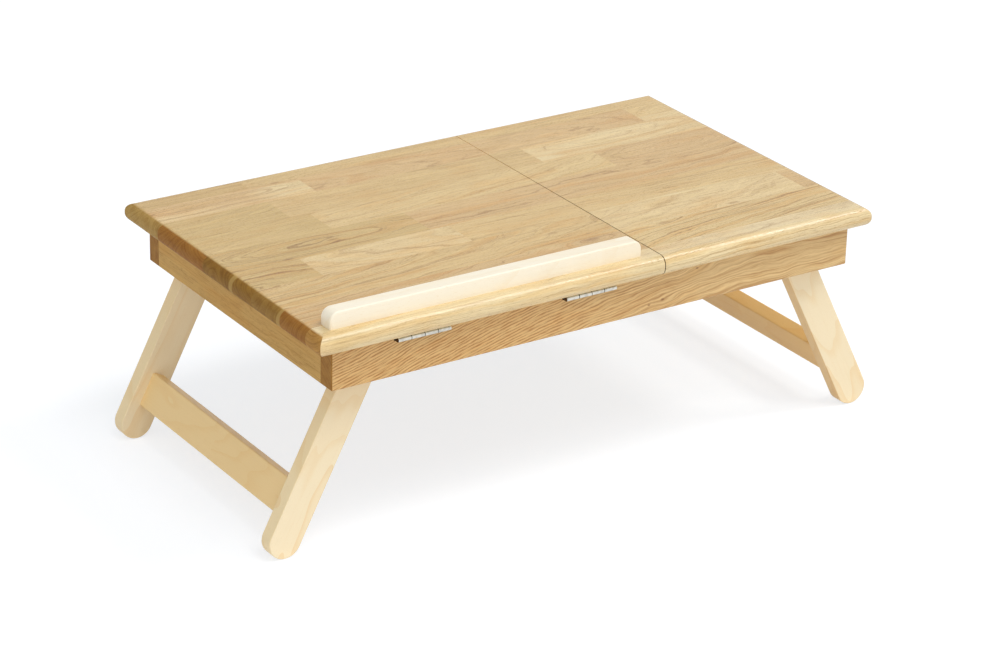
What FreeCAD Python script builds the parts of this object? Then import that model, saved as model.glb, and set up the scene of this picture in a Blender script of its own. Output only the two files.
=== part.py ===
import FreeCAD, Part
import os
import re
import Sketcher

# Folding lap table for a laptop: oak top and apron, birch legs and book ledge.
# The origin is on the floor under the middle of the top. +X runs along the long side,
# +Y to the back, +Z up. The left panel of the top tilts on two hinges at its front edge,
# the right panel is fixed over a shallow drawer, and both leg frames fold up inside the apron.

SIZES = {
    # top
    "top_length": 600, "top_depth": 362, "top_thickness": 19, "stand_height": 220,
    "tilt_length": 361, "seam_gap": 0.8, "edge_flat": 2,
    # apron and the rail across its middle
    "overhang_side": 18, "overhang_front": 11.5, "overhang_back": 13.5,
    "apron_height": 38.5, "apron_thickness": 19, "end_board_thickness": 22, "apron_ease": 1.5,
    "rail_thickness": 18, "rail_setback": 33.6, "rail_foot_gap": 2.4,
    # wooden dowels
    "dowel_diameter": 8, "dowel_play": 0.05, "dowel_end_play": 0.5, "dowel_spread": 18,
    "corner_dowel_length": 32, "corner_dowel_depth": 12, "top_dowel_length": 24,
    "top_dowel_depth": 10, "top_dowel_inset": 36,
    # leg frames
    "leg_angle": 27, "leg_width": 32.5, "leg_thickness": 15.3, "leg_gap": 1, "leg_ease": 1.2,
    "leg_stop_gap": 0.05, "pivot_drop": 19.25,
    "stretcher_width": 33.6, "stretcher_thickness": 13.6, "stretcher_rise": 17.4,
    "stretcher_outset": 5.6, "stretcher_ease": 1.5,
    "stretcher_dowel_diameter": 6, "stretcher_dowel_length": 30, "stretcher_dowel_depth": 10,
    "stretcher_dowel_spread": 16,
    # leg pivot bolts
    "leg_bolt_diameter": 6, "leg_bolt_play": 0.06, "leg_bolt_head": 12, "leg_bolt_head_height": 3,
    "head_recess_play": 0.5, "head_recess_depth": 3.6, "head_gap": 0.15, "hex_socket": 4,
    "hex_socket_depth": 2, "insert_diameter": 10, "insert_length": 13, "bolt_reach": 11,
    "washer_diameter": 14, "washer_thickness": 0.85,
    # hinges
    "hinge_length": 54, "hinge_barrel": 4.2, "leaf_thickness": 1.2, "leaf_width": 20,
    "hinge_pin": 2.2, "pin_fit": 0.01, "pin_play": 0.06, "knuckle_gap": 0.6,
    "hinge_setback": 7, "hinge_left_inset": 81.5, "hinge_right_inset": 49.3,
    "mortise_slack": 1, "mortise_play": 0.2,
    "hinge_screw_diameter": 3, "hinge_screw_head": 5.4, "hinge_screw_head_height": 1.2,
    "hinge_screw_length": 14, "hinge_screw_setback": 12.5, "hinge_screw_pitch": 19,
    # countersunk wood screws
    "wood_screw_diameter": 3.5, "wood_screw_head": 7, "wood_screw_head_height": 2.2,
    "screw_play": 0.05, "screw_tip_play": 0.5, "ledge_screw_length": 30,
    "rack_screw_length": 20, "runner_screw_length": 15, "batten_screw_length": 22,
    # book ledge
    "ledge_inset": 17.4, "ledge_setback": 13.7, "ledge_width": 16, "ledge_height": 16,
    "ledge_end_round": 9, "ledge_ease": 1.5, "ledge_screw_inset": 20,
    # batten under the seam
    "batten_left": 14, "batten_right": 22, "batten_thickness": 9, "batten_end_gap": 4.2,
    "batten_screw_inset": 30,
    # props and the racks that they rest in
    "prop_length": 124, "prop_width": 12, "prop_height": 12, "prop_back_gap": 6.2,
    "prop_rise": 1.5, "prop_gap": 1, "prop_bolt_diameter": 5, "prop_bolt_head": 10,
    "prop_bolt_head_height": 3, "prop_bolt_length": 27, "prop_washer_diameter": 11,
    "rack_thickness": 8, "rack_seat_depth": 2, "rack_seat_play": 0.2, "rack_end": 12,
    "low_rest_angle": 12, "middle_rest_angle": 20, "high_rest_angle": 28,
    # drawer, its window in the right apron board and its runners
    "window_top": 4.5, "window_bottom": 4, "drawer_reveal": 0.8, "drawer_batten_gap": 5,
    "drawer_fold_gap": 7.2, "drawer_front_thickness": 12, "drawer_side_thickness": 10,
    "drawer_side_drop": 6, "drawer_back_drop": 1.5, "drawer_back_thickness": 10,
    "drawer_bottom_thickness": 3, "drawer_bottom_rise": 4, "drawer_groove_depth": 4,
    "drawer_groove_play": 0.1, "finger_hole": 16, "finger_hole_rise": 0.8, "drawer_dowel_diameter": 5,
    "drawer_dowel_length": 20, "drawer_dowel_depth": 7, "drawer_ease": 0.6,
    "runner_web": 6, "runner_flange": 4, "runner_flange_width": 9, "runner_foot_width": 8,
    "runner_side_play": 0.7, "runner_leg_gap": 2, "runner_inset": 2, "runner_screw_inset": 25,
    "drawer_lift": 0.3, "stop_setback": 25, "stop_width": 60, "stop_length": 10,
    "stop_thickness": 4.5, "stop_screw_pitch": 36,
}

# Places worked out from the sizes.
PLACES = {
    "underside": "stand_height - top_thickness",
    "top_left": "-top_length / 2",
    "top_right": "top_length / 2",
    "top_front": "-top_depth / 2",
    "top_back": "top_depth / 2",
    "tilt_right": "top_left + tilt_length",
    "fixed_left": "tilt_right + seam_gap",
    "seam": "tilt_right + seam_gap / 2",
    "edge_round": "(top_thickness - edge_flat) / 2",
    "apron_left_face": "top_left + overhang_side",
    "apron_right_face": "top_right - overhang_side",
    "apron_front_face": "top_front + overhang_front",
    "apron_back_face": "top_back - overhang_back",
    "apron_under": "underside - apron_height",
    "bay_left": "apron_left_face + end_board_thickness",
    "bay_right": "apron_right_face - end_board_thickness",
    "bay_front": "apron_front_face + apron_thickness",
    "bay_back": "apron_back_face - apron_thickness",
    "bay_middle": "(bay_front + bay_back) / 2",
    "leg_half": "leg_width / 2",
    "pivot_height": "underside - pivot_drop",
    "leg_length": "(pivot_height - leg_half) / cos(leg_angle)",
    # the outer edge of an open leg bears on the eased lower arris of the end board
    "arris_above_pivot": "apron_under + apron_ease - pivot_height",
    "pivot_from_arris": "(leg_half + apron_ease + leg_stop_gap) / cos(leg_angle)"
                        " - arris_above_pivot * tan(leg_angle)",
    "pivot_left": "bay_left - apron_ease + pivot_from_arris",
    "pivot_right": "bay_right + apron_ease - pivot_from_arris",
    # the rail stands left of the seam batten and clears the feet of the folded right legs
    "folded_foot": "pivot_right - leg_length - leg_half",
    "rail_right": "min(seam - rail_setback; folded_foot - rail_foot_gap)",
    "rail_left": "rail_right - rail_thickness",
    "rail_centre": "(rail_left + rail_right) / 2",
    "front_leg_outer": "bay_front + leg_gap",
    "front_leg_inner": "front_leg_outer + leg_thickness",
    "back_leg_outer": "bay_back - leg_gap",
    "back_leg_inner": "back_leg_outer - leg_thickness",
    "stretcher_low": "stretcher_rise - leg_length",
    "stretcher_high": "stretcher_low + stretcher_width",
    "stretcher_middle": "(stretcher_low + stretcher_high) / 2",
    "hinge_y": "top_front + hinge_setback",
    "hinge_z": "underside - hinge_barrel / 2",
    "hinge_left_x": "top_left + hinge_left_inset",
    "hinge_right_x": "tilt_right - hinge_right_inset - hinge_length",
    "knuckle_pitch": "(hinge_length + knuckle_gap) / 4",
    "hinge_screw_y": "hinge_y + hinge_screw_setback",
    "ledge_front": "top_front + ledge_setback",
    "ledge_back": "ledge_front + ledge_width",
    "ledge_left": "top_left + ledge_inset",
    "ledge_right": "tilt_right - ledge_inset",
    "ledge_middle": "(ledge_front + ledge_back) / 2",
    "batten_from": "seam - batten_left",
    "batten_to": "seam + batten_right",
    "batten_front": "front_leg_inner + batten_end_gap",
    "batten_back": "back_leg_inner - batten_end_gap",
    "prop_y": "back_leg_inner - prop_back_gap - prop_half - prop_length",
    "prop_reach": "prop_y - hinge_y",
    "prop_z": "apron_under + prop_rise + prop_half",
    "prop_left_x": "bay_left + prop_gap",
    "prop_right_x": "rail_right + prop_gap",
    "prop_half": "prop_height / 2",
    "prop_below_hinge": "hinge_z - prop_z",
    "seat_level": "rack_thickness - rack_seat_depth + prop_half - hinge_barrel / 2",
    "drawer_face": "apron_right_face",
    # the drawer ends short of the seam batten and of the stretcher of the folded right legs
    "folded_stretcher": "pivot_right + stretcher_high",
    "drawer_inner": "max(batten_to + drawer_batten_gap; folded_stretcher + drawer_fold_gap)",
    "runner_near_face": "front_leg_inner + runner_leg_gap + runner_web",
    "runner_far_face": "back_leg_inner - runner_leg_gap - runner_web",
    "drawer_near": "runner_near_face + runner_side_play",
    "drawer_far": "runner_far_face - runner_side_play",
    "window_near": "drawer_near - drawer_reveal",
    "window_far": "drawer_far + drawer_reveal",
    "window_high": "underside - window_top",
    "window_low": "apron_under + window_bottom",
    "drawer_under": "window_low + drawer_reveal",
    "drawer_front_top": "window_high - drawer_reveal",
    "drawer_side_top": "underside - drawer_side_drop",
    "drawer_back_top": "underside - drawer_back_drop",
    "drawer_floor": "drawer_under + drawer_bottom_rise",
    "drawer_floor_top": "drawer_floor + drawer_bottom_thickness",
    "drawer_cavity_face": "drawer_face - drawer_front_thickness",
    "drawer_back_face": "drawer_inner + drawer_back_thickness",
    "runner_rest": "drawer_under - drawer_lift",
    "runner_under": "runner_rest - runner_flange",
    "runner_from": "drawer_inner + runner_inset",
    "stop_from": "bay_right - stop_setback",
}

AXIS_TURN = {
    "X": FreeCAD.Rotation(FreeCAD.Vector(0, 1, 0), 90),
    "Y": FreeCAD.Rotation(FreeCAD.Vector(1, 0, 0), -90),
    "Z": FreeCAD.Rotation(),
}
TOLERANCE = 0.01

document = FreeCAD.newDocument("LapTable")
sheet = document.addObject("Spreadsheet::Sheet", "Sizes")
nodes = []


# ---------------------------------------------------------------- expressions

def fill_sheet():
    for row, (alias, value) in enumerate(SIZES.items(), start=1):
        sheet.set(f"A{row}", alias)
        sheet.set(f"B{row}", str(value))
        sheet.setAlias(f"B{row}", alias)
    document.recompute()


def expand(text):
    """Turn a rule written with size and place names into an expression on the sheet."""
    def swap(match):
        word = match.group(0)
        if word in SIZES:
            return f"Sizes.{word}"
        if word in PLACES:
            return f"({expand(PLACES[word])})"
        return word
    return re.sub(r"[A-Za-z_]\w*", swap, text)


def number(text):
    return float(sheet.evalExpression(expand(text)))


def bind(item, prop, text):
    item.setExpression(prop, expand(text))


def add(kind, name):
    return document.addObject(kind, name)


# ---------------------------------------------------------------- primitives

def box(name, x, y, z):
    item = add("Part::Box", name)
    for prop, axis, (low, high) in zip(("Length", "Width", "Height"), "xyz", (x, y, z)):
        bind(item, prop, f"({high}) - ({low})")
        bind(item, f"Placement.Base.{axis}", low)
    return item


def turned(item, axis, low, across):
    """Lay a primitive along an axis, from low, through the two other coordinates."""
    item.Placement.Rotation = AXIS_TURN[axis]
    others = [letter for letter in "XYZ" if letter != axis]
    bind(item, f"Placement.Base.{axis.lower()}", low)
    for letter, place in zip(others, across):
        bind(item, f"Placement.Base.{letter.lower()}", place)
    return item


def rod(name, axis, diameter, low, high, across):
    item = add("Part::Cylinder", name)
    bind(item, "Radius", f"({diameter}) / 2")
    bind(item, "Height", f"({high}) - ({low})")
    return turned(item, axis, low, across)


def cone(name, diameter_low, diameter_high, low, high, across):
    item = add("Part::Cone", name)
    bind(item, "Radius1", f"({diameter_low}) / 2")
    bind(item, "Radius2", f"({diameter_high}) / 2")
    bind(item, "Height", f"({high}) - ({low})")
    return turned(item, "Z", low, across)


def joined(name, pieces):
    item = add("Part::MultiFuse", name)
    item.Shapes = pieces
    return item


def cut(name, base, tools):
    item = add("Part::Cut", name)
    item.Base = base
    item.Tool = tools[0] if len(tools) == 1 else joined(f"{name}_tools", tools)
    return item


def group(name, pieces):
    item = add("Part::Compound", name)
    item.Links = pieces
    return item


def node(name, item):
    """Give a finished sub-part its label and keep it for writing."""
    item.Label = name
    nodes.append(item)
    return item


# ---------------------------------------------------------------- bodies

def new_sketch(body, name, role, offset):
    sketch = body.newObject("Sketcher::SketchObject", name)
    plane = [item for item in body.Origin.OriginFeatures if item.Role == role][0]
    sketch.AttachmentSupport = (plane, "")
    sketch.MapMode = "FlatFace"
    bind(sketch, "AttachmentOffset.Base.z", offset)
    return sketch


def measure(sketch, kind, references, name, rule):
    sketch.addConstraint(Sketcher.Constraint(kind, *references, number(rule)))
    sketch.renameConstraint(sketch.ConstraintCount - 1, name)
    bind(sketch, f"Constraints.{name}", rule)


def outline(sketch, corners):
    """Closed run of straight lines, each corner held by its distances from the origin."""
    points = [FreeCAD.Vector(number(x), number(y), 0) for x, y in corners]
    lines = [Part.LineSegment(start, end) for start, end in zip(points, points[1:] + points[:1])]
    sketch.addGeometry(lines, False)
    for index, (x, y) in enumerate(corners):
        before = (index - 1) % len(corners)
        sketch.addConstraint(Sketcher.Constraint("Coincident", before, 2, index, 1))
        measure(sketch, "DistanceX", (-1, 1, index, 1), f"x{index}", x)
        measure(sketch, "DistanceY", (-1, 1, index, 1), f"y{index}", y)


def pad(body, sketch, name, length):
    item = body.newObject("PartDesign::Pad", name)
    item.Profile = sketch
    bind(item, "Length", length)
    document.recompute()
    return item


def block(name, x, y, z):
    """Board with square edges, as a body with one padded rectangle."""
    body = add("PartDesign::Body", name)
    sketch = new_sketch(body, f"{name}_plan", "XY_Plane", z[0])
    outline(sketch, [(x[0], y[0]), (x[1], y[0]), (x[1], y[1]), (x[0], y[1])])
    pad(body, sketch, f"{name}_pad", f"({z[1]}) - ({z[0]})")
    return body


def bar(name, corners, low, high):
    """Straight bar along X from a section given in Y and Z."""
    body = add("PartDesign::Body", name)
    sketch = new_sketch(body, f"{name}_section", "YZ_Plane", low)
    outline(sketch, corners)
    pad(body, sketch, f"{name}_pad", f"({high}) - ({low})")
    return body


def straight_edges(body, axis, **places):
    """Names of the body's straight edges along an axis that lie at the given coordinates."""
    wanted = {key: number(rule) for key, rule in places.items()}
    found = []
    for index, edge in enumerate(body.Shape.Edges, start=1):
        if edge.Curve.TypeId != "Part::GeomLine":
            continue
        if abs(abs(getattr(edge.Curve.Direction, axis.lower())) - 1) > TOLERANCE:
            continue
        centre = edge.CenterOfMass
        if all(abs(getattr(centre, key) - place) < TOLERANCE for key, place in wanted.items()):
            found.append(f"Edge{index}")
    return found


def soften(body, name, edges, radius):
    before = body.Tip
    item = body.newObject("PartDesign::Fillet", name)
    item.Base = (before, edges)
    bind(item, "Radius", radius)
    document.recompute()
    return item


# ---------------------------------------------------------------- fasteners

def screw(name, x, y, head, up, kind, length, play="0", tip_play="0"):
    """Upright countersunk screw. Its head is flush with z = head; up tells where it points."""
    diameter = f"({kind}_diameter + 2 * ({play}))"
    head_diameter = f"({kind}_head + 2 * ({play}))"
    height = f"{kind}_head_height"
    reach = f"({length} + {tip_play})"
    if up:
        neck = f"{head} + {height}"
        top = cone(f"{name}_head", head_diameter, diameter, head, neck, (x, y))
        shank = rod(f"{name}_shank", "Z", diameter, neck, f"{head} + {reach}", (x, y))
    else:
        neck = f"{head} - {height}"
        top = cone(f"{name}_head", diameter, head_diameter, neck, head, (x, y))
        shank = rod(f"{name}_shank", "Z", diameter, f"{head} - {reach}", neck, (x, y))
    return joined(name, [top, shank])


def screw_set(name, places, head, up, kind, length):
    screws = [screw(f"{name}_{index}", x, y, head, up, kind, length)
              for index, (x, y) in enumerate(places)]
    return node(name, group(name, screws))


def screw_holes(name, places, head, up, kind, length):
    return [screw(f"{name}_{index}", x, y, head, up, kind, length, "screw_play", "screw_tip_play")
            for index, (x, y) in enumerate(places)]


def dowel_hole(name, axis, diameter, low, high, across):
    return rod(name, axis, f"{diameter} + 2 * dowel_play", low, high, across)


# ---------------------------------------------------------------- places of repeated parts

CORNER_DOWEL_LEVELS = [f"pivot_height {sign} dowel_spread / 2" for sign in "-+"]
END_BOARDS = {"left": "(apron_left_face + bay_left) / 2", "right": "(apron_right_face + bay_right) / 2"}
TOP_DOWEL_X = ["fixed_left + top_dowel_inset", "apron_right_face - top_dowel_inset"]
LONG_BOARD_Y = {"front": "(apron_front_face + bay_front) / 2", "back": "(apron_back_face + bay_back) / 2"}
PIVOT_X = {"left": "pivot_left", "right": "pivot_right"}
HINGE_X = {"left": "hinge_left_x", "right": "hinge_right_x"}
PROP_X = {"left": "prop_left_x", "right": "prop_right_x"}
REST_ANGLES = ["high_rest_angle", "middle_rest_angle", "low_rest_angle"]


def seat_y(angle):
    """Place along the closed panel where a prop's rounded tip sits at that rest angle."""
    drop = f"(prop_reach * sin({angle}) + prop_below_hinge * cos({angle}) - seat_level)"
    along = f"(prop_reach * cos({angle}) - prop_below_hinge * sin({angle}))"
    return f"(hinge_y + {along} + sqrt(prop_length ^ 2 - {drop} ^ 2))"


def hinge_screw_places(side):
    middle = f"{HINGE_X[side]} + hinge_length / 2"
    return [(f"{middle} + {step} * hinge_screw_pitch", "hinge_screw_y") for step in (-1, 0, 1)]


def all_hinge_screw_places():
    return hinge_screw_places("left") + hinge_screw_places("right")


def ledge_screw_places():
    ends = ["ledge_left + ledge_screw_inset", "(ledge_left + ledge_right) / 2",
            "ledge_right - ledge_screw_inset"]
    return [(x, "ledge_middle") for x in ends]


def rack_screw_places(side):
    middle = f"{PROP_X[side]} + prop_width / 2"
    seats = [seat_y(angle) for angle in REST_ANGLES]
    return [(middle, f"({first} + {second}) / 2") for first, second in zip(seats, seats[1:])]


def batten_screw_places():
    x = "(fixed_left + batten_to) / 2"
    return [(x, y) for y in ("batten_front + batten_screw_inset", "bay_middle",
                             "batten_back - batten_screw_inset")]


def runner_lines():
    """Inner face of each runner's web and the way from there to the drawer."""
    return {"near": ("runner_near_face", 1), "far": ("runner_far_face", -1)}


def runner_screw_places():
    places = []
    for face, inward in runner_lines().values():
        y = f"{face} + {inward} * runner_flange_width / 2"
        places.append(("runner_from + runner_screw_inset", y))
        places.append(("bay_right - runner_screw_inset", y))
    return places


def stop_screw_places():
    x = "stop_from + stop_length / 2"
    return [(x, f"bay_middle {sign} stop_screw_pitch / 2") for sign in "-+"]


# ---------------------------------------------------------------- top

def rounded_panel(name, x, outer_x):
    """Top panel with its outer edges rounded above and below to a near half round."""
    body = block(f"{name}_board", x, ("top_front", "top_back"), ("underside", "stand_height"))
    for label, level in (("upper", "stand_height"), ("lower", "underside")):
        edges = straight_edges(body, "X", y="top_front", z=level)
        edges += straight_edges(body, "X", y="top_back", z=level)
        edges += straight_edges(body, "Y", x=outer_x, z=level)
        soften(body, f"{name}_{label}_round", edges, "edge_round")
    return body


def make_tilt_top():
    body = rounded_panel("tilt_top", ("top_left", "tilt_right"), "top_left")
    holes = screw_holes("tilt_hinge_hole", all_hinge_screw_places(), "underside - leaf_thickness",
                        True, "hinge_screw", "hinge_screw_length")
    holes += screw_holes("tilt_ledge_hole", ledge_screw_places(), "underside",
                         True, "wood_screw", "ledge_screw_length")
    for side in PROP_X:
        holes += screw_holes(f"tilt_rack_{side}_hole", rack_screw_places(side),
                             "underside - rack_thickness", True, "wood_screw", "rack_screw_length")
    node("tilt_top", cut("tilt_top", body, holes))


def make_fixed_top():
    body = rounded_panel("fixed_top", ("fixed_left", "top_right"), "top_right")
    holes = []
    for index, (x, y) in enumerate(top_dowel_places()):
        holes.append(dowel_hole(f"fixed_dowel_hole_{index}", "Z", "dowel_diameter", "underside",
                                "underside + top_dowel_depth + dowel_end_play", (x, y)))
    holes += screw_holes("fixed_batten_hole", batten_screw_places(), "underside - batten_thickness",
                         True, "wood_screw", "batten_screw_length")
    holes += screw_holes("fixed_runner_hole", runner_screw_places(), "underside - runner_flange",
                         True, "wood_screw", "runner_screw_length")
    holes += screw_holes("fixed_stop_hole", stop_screw_places(), "underside - stop_thickness",
                         True, "wood_screw", "runner_screw_length")
    node("fixed_top", cut("fixed_top", body, holes))


def make_book_ledge():
    """Ledge that keeps a book or laptop from sliding off, its upper ends rounded off."""
    top = "stand_height + ledge_height"
    body = block("book_ledge_bar", ("ledge_left", "ledge_right"), ("ledge_front", "ledge_back"),
                 ("stand_height", top))
    ends = straight_edges(body, "Y", x="ledge_left", z=top)
    ends += straight_edges(body, "Y", x="ledge_right", z=top)
    soften(body, "book_ledge_end_round", ends, "ledge_end_round")
    long_edges = straight_edges(body, "X", y="ledge_front", z=top)
    long_edges += straight_edges(body, "X", y="ledge_back", z=top)
    soften(body, "book_ledge_eased", long_edges, "ledge_ease")
    holes = screw_holes("ledge_hole", ledge_screw_places(), "underside", True,
                        "wood_screw", "ledge_screw_length")
    node("book_ledge", cut("book_ledge", body, holes))
    screw_set("ledge_screws", ledge_screw_places(), "underside", True,
              "wood_screw", "ledge_screw_length")


# ---------------------------------------------------------------- apron

def top_dowel_places():
    """Dowels between the long apron boards and the fixed panel."""
    return [(x, y) for x in TOP_DOWEL_X for y in LONG_BOARD_Y.values()]


def top_dowel_holes(name, places):
    return [dowel_hole(f"{name}_{index}", "Z", "dowel_diameter",
                       "underside + top_dowel_depth - top_dowel_length - dowel_end_play",
                       "underside", place) for index, place in enumerate(places)]


def pair_of_dowel_holes(name, x, low, high):
    return [dowel_hole(f"{name}_{index}", "Y", "dowel_diameter", low, high, (x, level))
            for index, level in enumerate(CORNER_DOWEL_LEVELS)]


def make_long_board(side):
    """Front or back apron board, which runs the full length of the apron."""
    name = f"apron_{side}"
    outer = f"apron_{side}_face"
    inner = f"bay_{side}"
    inward = 1 if side == "front" else -1
    faces = (outer, inner) if side == "front" else (inner, outer)
    body = block(f"{name}_board", ("apron_left_face", "apron_right_face"), faces,
                 ("apron_under", "underside"))
    edges = straight_edges(body, "X", y=outer, z="apron_under")
    edges += straight_edges(body, "X", y=inner, z="apron_under")
    for end in ("apron_left_face", "apron_right_face"):
        edges += straight_edges(body, "Z", x=end, y=outer)
        edges += straight_edges(body, "Y", x=end, z="apron_under")
    soften(body, f"{name}_eased", edges, "apron_ease")

    def into_board(depth):
        return sorted([inner, f"{inner} - {inward} * ({depth})"], key=number)

    holes = []
    joints = dict(END_BOARDS, rail="rail_centre")
    for label, x in joints.items():
        low, high = into_board("corner_dowel_depth + dowel_end_play")
        holes += pair_of_dowel_holes(f"{name}_{label}_hole", x, low, high)
    for label, x in PIVOT_X.items():
        low, high = into_board("insert_length")
        holes.append(rod(f"{name}_{label}_insert_hole", "Y", "insert_diameter + 2 * dowel_play",
                         low, high, (x, "pivot_height")))
    holes += top_dowel_holes(f"{name}_top_hole", [(x, LONG_BOARD_Y[side]) for x in TOP_DOWEL_X])
    if side == "front":
        for label, x in HINGE_X.items():
            holes.append(box(f"mortise_{label}",
                             (f"{x} - mortise_slack", f"{x} + hinge_length + mortise_play"),
                             (f"{outer} - mortise_slack", "hinge_y + leaf_width + mortise_play"),
                             ("underside - hinge_barrel", "underside + mortise_play")))
        holes += screw_holes("apron_hinge_hole", all_hinge_screw_places(),
                             "underside - hinge_barrel + leaf_thickness", False,
                             "hinge_screw", "hinge_screw_length")
    node(name, cut(name, body, holes))


def cross_board(name, low_x, high_x):
    """Board between the front and back apron boards, eased along its lower edges."""
    body = block(f"{name}_board", (low_x, high_x), ("bay_front", "bay_back"),
                 ("apron_under", "underside"))
    edges = straight_edges(body, "Y", x=low_x, z="apron_under")
    edges += straight_edges(body, "Y", x=high_x, z="apron_under")
    soften(body, f"{name}_eased", edges, "apron_ease")
    middle = f"({low_x} + {high_x}) / 2"
    depth = "(corner_dowel_length - corner_dowel_depth + dowel_end_play)"
    holes = pair_of_dowel_holes(f"{name}_front_hole", middle, "bay_front", f"bay_front + {depth}")
    holes += pair_of_dowel_holes(f"{name}_back_hole", middle, f"bay_back - {depth}", "bay_back")
    return body, holes


def prop_bolt_hole(name, face):
    return rod(name, "X", "prop_bolt_diameter + 2 * screw_play",
               f"{face} + prop_gap + prop_width + head_gap - prop_bolt_length - screw_tip_play",
               face, ("prop_y", "prop_z"))


def make_apron_left():
    body, holes = cross_board("apron_left", "apron_left_face", "bay_left")
    holes.append(prop_bolt_hole("apron_left_prop_hole", "bay_left"))
    node("apron_left", cut("apron_left", body, holes))


def make_centre_rail():
    body, holes = cross_board("centre_rail", "rail_left", "rail_right")
    holes.append(prop_bolt_hole("centre_rail_prop_hole", "rail_right"))
    node("centre_rail", cut("centre_rail", body, holes))


def make_apron_right():
    """End board with the window that the drawer slides through."""
    body, holes = cross_board("apron_right", "bay_right", "apron_right_face")
    holes.append(box("drawer_window", ("bay_right - drawer_reveal", "apron_right_face + drawer_reveal"),
                     ("window_near", "window_far"), ("window_low", "window_high")))
    node("apron_right", cut("apron_right", body, holes))


def make_apron_dowels():
    corner = []
    for label, x in dict(END_BOARDS, rail="rail_centre").items():
        for index, level in enumerate(CORNER_DOWEL_LEVELS):
            front = "bay_front - corner_dowel_depth"
            back = "bay_back + corner_dowel_depth"
            corner.append(rod(f"dowel_{label}_front_{index}", "Y", "dowel_diameter", front,
                              f"{front} + corner_dowel_length", (x, level)))
            corner.append(rod(f"dowel_{label}_back_{index}", "Y", "dowel_diameter",
                              f"{back} - corner_dowel_length", back, (x, level)))
    node("apron_dowels", group("apron_dowels", corner))
    high = "underside + top_dowel_depth"
    node("top_dowels", group("top_dowels", [
        rod(f"top_dowel_{index}", "Z", "dowel_diameter", f"{high} - top_dowel_length", high, place)
        for index, place in enumerate(top_dowel_places())]))


def make_seam_batten():
    """Batten under the seam: screwed to the fixed panel, the closed tilting panel rests on it."""
    body = block("seam_batten_board", ("batten_from", "batten_to"), ("batten_front", "batten_back"),
                 ("underside - batten_thickness", "underside"))
    edges = straight_edges(body, "Y", x="batten_from", z="underside - batten_thickness")
    edges += straight_edges(body, "Y", x="batten_to", z="underside - batten_thickness")
    soften(body, "seam_batten_eased", edges, "apron_ease")
    holes = screw_holes("batten_hole", batten_screw_places(), "underside - batten_thickness", True,
                        "wood_screw", "batten_screw_length")
    node("seam_batten", cut("seam_batten", body, holes))
    screw_set("batten_screws", batten_screw_places(), "underside - batten_thickness", True,
              "wood_screw", "batten_screw_length")


# ---------------------------------------------------------------- leg frames
# Each frame is drawn with its legs upright below the pivot and then turned to its open angle.

def stand_open(item, side):
    """Turn a piece of a leg frame from upright to its open place."""
    outward = 1 if side == "left" else -1
    item.Placement.Rotation = FreeCAD.Rotation(FreeCAD.Vector(0, 1, 0), outward)
    bind(item, "Placement.Rotation.Angle", "leg_angle")
    item.Placement.Rotation.Axis = FreeCAD.Vector(0, outward, 0)
    bind(item, "Placement.Base.x", PIVOT_X[side])
    bind(item, "Placement.Base.z", "pivot_height")


def leg_outline(sketch):
    """Straight leg with a full round at each end; the upper round is centred on the pivot."""
    half = number("leg_half")
    foot = -number("leg_length")
    top_arc = Part.ArcOfCircle(Part.Circle(FreeCAD.Vector(0, 0, 0), FreeCAD.Vector(0, 0, 1), half),
                               0, FreeCAD.Units.Quantity("180 deg").getValueAs("rad").Value)
    foot_arc = Part.ArcOfCircle(Part.Circle(FreeCAD.Vector(0, foot, 0), FreeCAD.Vector(0, 0, 1), half),
                                FreeCAD.Units.Quantity("180 deg").getValueAs("rad").Value,
                                FreeCAD.Units.Quantity("360 deg").getValueAs("rad").Value)
    left = Part.LineSegment(FreeCAD.Vector(-half, 0, 0), FreeCAD.Vector(-half, foot, 0))
    right = Part.LineSegment(FreeCAD.Vector(half, foot, 0), FreeCAD.Vector(half, 0, 0))
    sketch.addGeometry([top_arc, left, foot_arc, right], False)
    for first, first_end, second, second_end in ((0, 2, 1, 1), (1, 2, 2, 1), (2, 2, 3, 1), (3, 2, 0, 1)):
        sketch.addConstraint(Sketcher.Constraint("Tangent", first, first_end, second, second_end))
    sketch.addConstraint(Sketcher.Constraint("Coincident", 0, 3, -1, 1))
    sketch.addConstraint(Sketcher.Constraint("Vertical", 1))
    measure(sketch, "DistanceY", (2, 3, -1, 1), "length", "leg_length")
    measure(sketch, "Radius", (0,), "half_width", "leg_half")


def make_leg(side, row):
    name = f"{side}_leg_{row}"
    outer, inner = f"{row}_leg_outer", f"{row}_leg_inner"
    low, high = sorted((outer, inner), key=number)
    inward = 1 if row == "front" else -1
    body = add("PartDesign::Body", f"{name}_board")
    sketch = new_sketch(body, f"{name}_outline", "XZ_Plane", f"-({high})")
    leg_outline(sketch)
    pad(body, sketch, f"{name}_pad", "leg_thickness")
    rim = [f"Edge{index}" for index, edge in enumerate(body.Shape.Edges, start=1)
           if edge.BoundBox.YLength < TOLERANCE]
    soften(body, f"{name}_eased", rim, "leg_ease")
    recess = sorted((inner, f"{inner} - {inward} * head_recess_depth"), key=number)
    holes = [
        rod(f"{name}_pivot_hole", "Y", "leg_bolt_diameter + 2 * leg_bolt_play", low, high, ("0", "0")),
        rod(f"{name}_head_recess", "Y", "leg_bolt_head + 2 * head_recess_play", *recess, ("0", "0")),
    ]
    depth = f"{inner} - {inward} * (stretcher_dowel_depth + dowel_end_play)"
    low_hole, high_hole = sorted((inner, depth), key=number)
    for index, level in enumerate(stretcher_dowel_levels()):
        holes.append(dowel_hole(f"{name}_dowel_hole_{index}", "Y", "stretcher_dowel_diameter",
                                low_hole, high_hole, (stretcher_centre(side), level)))
    leg = node(name, cut(name, body, holes))
    stand_open(leg, side)


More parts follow.
